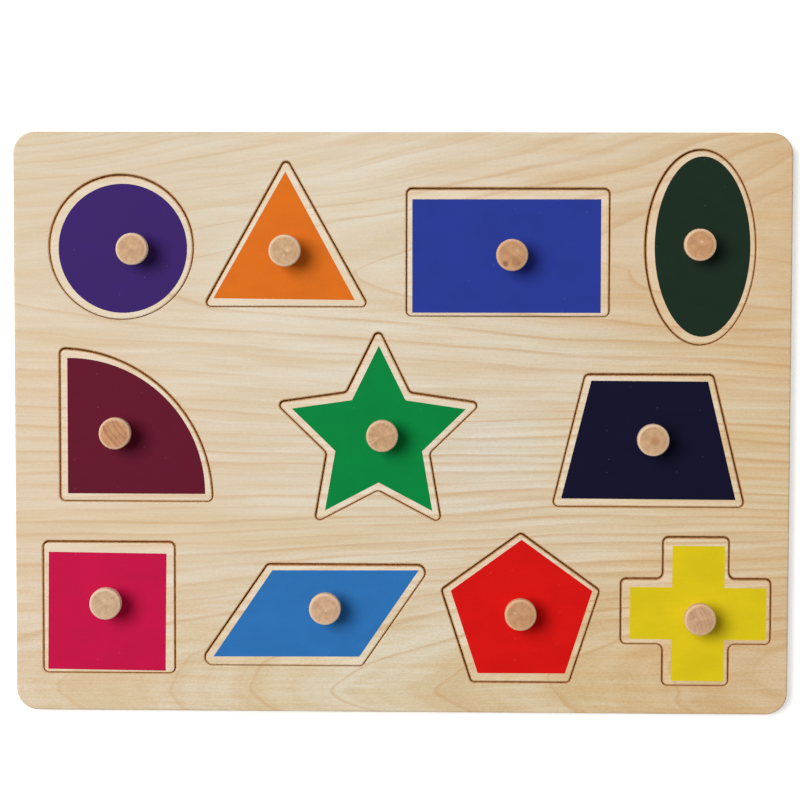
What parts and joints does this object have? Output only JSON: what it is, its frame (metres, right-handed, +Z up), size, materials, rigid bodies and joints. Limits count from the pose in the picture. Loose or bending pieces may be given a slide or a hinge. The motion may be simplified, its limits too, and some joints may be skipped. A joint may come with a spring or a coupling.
{
  "type": "wooden puzzle board",
  "caption": "Two-layer plywood puzzle board with loose printed shape tiles, each lifted out of its cut-out by a turned wooden peg.",
  "frame": {"origin": "middle of the board's underside, on the surface that it lies on", "axes": "+X along the board's long side, +Y towards the row that starts with the circle, +Z up out of the board"},
  "size_m": [0.3, 0.225, 0.021],
  "materials": {
    "frame_ply": "pale plywood, sanded, with cut edges darkened by the laser",
    "backing_ply": "pale plywood, sanded",
    "peg_wood": "turned hardwood, end grain on the head",
    "tile_circle": "plywood printed with purple ink inside a bare margin",
    "tile_triangle": "plywood printed with orange ink inside a bare margin",
    "tile_rectangle": "plywood printed with blue ink inside a bare margin",
    "tile_oval": "plywood printed with dark green ink inside a bare margin",
    "tile_quarter_circle": "plywood printed with maroon ink inside a bare margin",
    "tile_star": "plywood printed with green ink inside a bare margin",
    "tile_trapezoid": "plywood printed with navy ink inside a bare margin",
    "tile_square": "plywood printed with crimson ink inside a bare margin",
    "tile_parallelogram": "plywood printed with mid blue ink inside a bare margin",
    "tile_pentagon": "plywood printed with red ink inside a bare margin",
    "tile_cross": "plywood printed with yellow ink inside a bare margin"
  },
  "bodies": {
    "board": {"frame_board": "frame_ply", "backing_board": "backing_ply"},
    "circle_piece": {"tile_circle": "tile_circle", "peg_circle": "peg_wood"},
    "triangle_piece": {"tile_triangle": "tile_triangle", "peg_triangle": "peg_wood"},
    "rectangle_piece": {"tile_rectangle": "tile_rectangle", "peg_rectangle": "peg_wood"},
    "oval_piece": {"tile_oval": "tile_oval", "peg_oval": "peg_wood"},
    "quarter_circle_piece": {"tile_quarter_circle": "tile_quarter_circle", "peg_quarter_circle": "peg_wood"},
    "star_piece": {"tile_star": "tile_star", "peg_star": "peg_wood"},
    "trapezoid_piece": {"tile_trapezoid": "tile_trapezoid", "peg_trapezoid": "peg_wood"},
    "square_piece": {"tile_square": "tile_square", "peg_square": "peg_wood"},
    "parallelogram_piece": {"tile_parallelogram": "tile_parallelogram", "peg_parallelogram": "peg_wood"},
    "pentagon_piece": {"tile_pentagon": "tile_pentagon", "peg_pentagon": "peg_wood"},
    "cross_piece": {"tile_cross": "tile_cross", "peg_cross": "peg_wood"}
  },
  "joints": [
    {"name": "circle_lift", "type": "slide", "parent": "board", "child": "circle_piece", "axis": [0, 0, 1], "range_m": [0, 0.03]},
    {"name": "triangle_lift", "type": "slide", "parent": "board", "child": "triangle_piece", "axis": [0, 0, 1], "range_m": [0, 0.03]},
    {"name": "rectangle_lift", "type": "slide", "parent": "board", "child": "rectangle_piece", "axis": [0, 0, 1], "range_m": [0, 0.03]},
    {"name": "oval_lift", "type": "slide", "parent": "board", "child": "oval_piece", "axis": [0, 0, 1], "range_m": [0, 0.03]},
    {"name": "quarter_circle_lift", "type": "slide", "parent": "board", "child": "quarter_circle_piece", "axis": [0, 0, 1], "range_m": [0, 0.03]},
    {"name": "star_lift", "type": "slide", "parent": "board", "child": "star_piece", "axis": [0, 0, 1], "range_m": [0, 0.03]},
    {"name": "trapezoid_lift", "type": "slide", "parent": "board", "child": "trapezoid_piece", "axis": [0, 0, 1], "range_m": [0, 0.03]},
    {"name": "square_lift", "type": "slide", "parent": "board", "child": "square_piece", "axis": [0, 0, 1], "range_m": [0, 0.03]},
    {"name": "parallelogram_lift", "type": "slide", "parent": "board", "child": "parallelogram_piece", "axis": [0, 0, 1], "range_m": [0, 0.03]},
    {"name": "pentagon_lift", "type": "slide", "parent": "board", "child": "pentagon_piece", "axis": [0, 0, 1], "range_m": [0, 0.03]},
    {"name": "cross_lift", "type": "slide", "parent": "board", "child": "cross_piece", "axis": [0, 0, 1], "range_m": [0, 0.03]}
  ]
}
